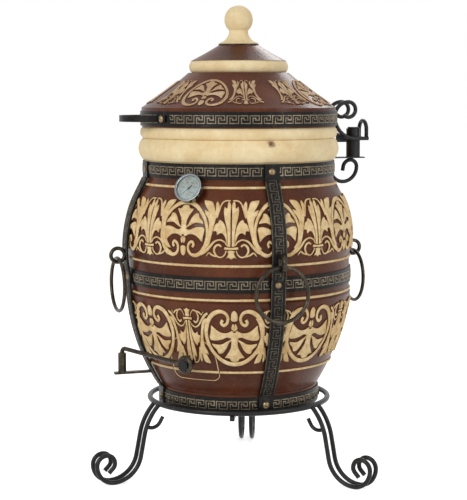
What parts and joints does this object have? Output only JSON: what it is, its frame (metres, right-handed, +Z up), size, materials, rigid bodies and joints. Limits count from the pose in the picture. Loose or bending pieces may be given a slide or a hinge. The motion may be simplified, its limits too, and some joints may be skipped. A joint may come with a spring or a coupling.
{
  "type": "tandoor_oven",
  "caption": "Clay tandoor oven in a strapped steel cage, with a swinging domed lid, lift-off vent cap, ash door, thermometer and a scrolled iron tripod stand.",
  "frame": {"origin": "on the floor, under the pot's axis", "axes": "+X to the right seen from the front, +Y to the rear, +Z up"},
  "size_m": [0.6253, 0.6413, 1.0453],
  "materials": {
    "brown_clay": "semi-matt brown glaze over fired clay",
    "cream_clay": "bare cream fireclay, matt",
    "key_strip": "blackened steel strip with a rubbed raised key pattern",
    "bright_rivet": "worn bright steel",
    "black_iron": "black heat-proof paint on forged iron",
    "grate_iron": "bare grey cast iron",
    "gauge_chrome": "polished",
    "gauge_brass": "turned brass",
    "gauge_dial_white": "satin white dial",
    "gauge_black": "matt black",
    "gauge_glass": "clear",
    "plain_steel": "zinc plated"
  },
  "bodies": {
    "stand": {"stand_ring": "black_iron", "stand_supports": "black_iron", "stand_leg_left": "black_iron", "stand_leg_right": "black_iron", "stand_leg_rear": "black_iron", "stand_hook_left": "black_iron", "stand_hook_right": "black_iron", "stand_hook_rear": "black_iron"},
    "pot": {"clay_pot": "brown_clay", "neck_ring": "cream_clay", "bottom_band": "key_strip", "middle_band": "key_strip", "top_band": "key_strip", "strap_front": "key_strip", "strap_left": "key_strip", "strap_rear": "key_strip", "strap_right": "key_strip", "strap_rivets": "bright_rivet", "ring_eyes": "black_iron", "hinge_plate": "black_iron", "hinge_bracket": "black_iron", "hinge_socket": "black_iron", "latch_tube": "black_iron", "latch_arm": "black_iron", "gauge_case": "gauge_chrome", "gauge_bezel": "gauge_chrome", "gauge_dial": "gauge_dial_white", "gauge_glass": "gauge_glass", "gauge_stem": "gauge_chrome", "gauge_bush": "gauge_brass"},
    "lid_pin": {"hinge_pin": "black_iron"},
    "lid": {"lid_ring": "cream_clay", "lid_dome": "brown_clay", "lid_band": "key_strip", "lid_handle": "key_strip", "lid_handle_rivets": "bright_rivet", "hinge_arm_front": "black_iron", "hinge_arm_rear": "black_iron", "hinge_loop": "black_iron", "hinge_sleeve": "black_iron", "hinge_web": "black_iron"},
    "cap": {"vent_cap": "brown_clay", "cap_ring": "cream_clay", "knob_collar": "black_iron", "knob": "cream_clay", "knob_bolt": "plain_steel", "knob_nut": "plain_steel"},
    "ash_door": {"ash_plug": "brown_clay", "ash_bolt": "black_iron", "ash_rod": "black_iron"},
    "needle": {"gauge_needle": "gauge_black"},
    "grate": {"fire_grate": "grate_iron"},
    "ring_front": {"carry_ring_front": "black_iron"},
    "ring_right": {"carry_ring_right": "black_iron"},
    "ring_rear": {"carry_ring_rear": "black_iron"},
    "ring_left": {"carry_ring_left": "black_iron"}
  },
  "joints": [
    {"name": "pot_lift", "type": "slide", "parent": "stand", "child": "pot", "axis": [0, 0, 1], "range_m": [0, 0.06]},
    {"name": "lid_lift", "type": "slide", "parent": "pot", "child": "lid_pin", "axis": [0, 0, 1], "range_m": [0, 0.03]},
    {"name": "lid_swing", "type": "hinge", "parent": "lid_pin", "child": "lid", "pos_m": [0.26248, 0.09038, 0.7043], "axis": [0, 0, 1], "range_deg": [-110, 110]},
    {"name": "cap_lift", "type": "slide", "parent": "lid", "child": "cap", "axis": [0, 0, 1], "range_m": [0, 0.06]},
    {"name": "ash_door_swing", "type": "hinge", "parent": "pot", "child": "ash_door", "pos_m": [-0.25718, -0.08855, 0.2403], "axis": [0, 0, -1], "range_deg": [0, 110]},
    {"name": "needle_turn", "type": "hinge", "parent": "pot", "child": "needle", "pos_m": [-0.10382, -0.21286, 0.65321], "axis": [0.4005, 0.8211, -0.4067], "range_deg": [0, 270]},
    {"name": "grate_lift", "type": "slide", "parent": "pot", "child": "grate", "axis": [0, 0, 1], "range_m": [0, 0.2]},
    {"name": "ring_front_swing", "type": "hinge", "parent": "pot", "child": "ring_front", "pos_m": [0.09118, -0.26481, 0.4926], "axis": [-0.9455, -0.3256, 0], "range_deg": [0, 100]},
    {"name": "ring_right_swing", "type": "hinge", "parent": "pot", "child": "ring_right", "pos_m": [0.26481, 0.09118, 0.4926], "axis": [0.3256, -0.9455, 0], "range_deg": [0, 100]},
    {"name": "ring_rear_swing", "type": "hinge", "parent": "pot", "child": "ring_rear", "pos_m": [-0.09118, 0.26481, 0.4926], "axis": [0.9455, 0.3256, 0], "range_deg": [0, 100]},
    {"name": "ring_left_swing", "type": "hinge", "parent": "pot", "child": "ring_left", "pos_m": [-0.26481, -0.09118, 0.4926], "axis": [-0.3256, 0.9455, 0], "range_deg": [0, 100]}
  ]
}
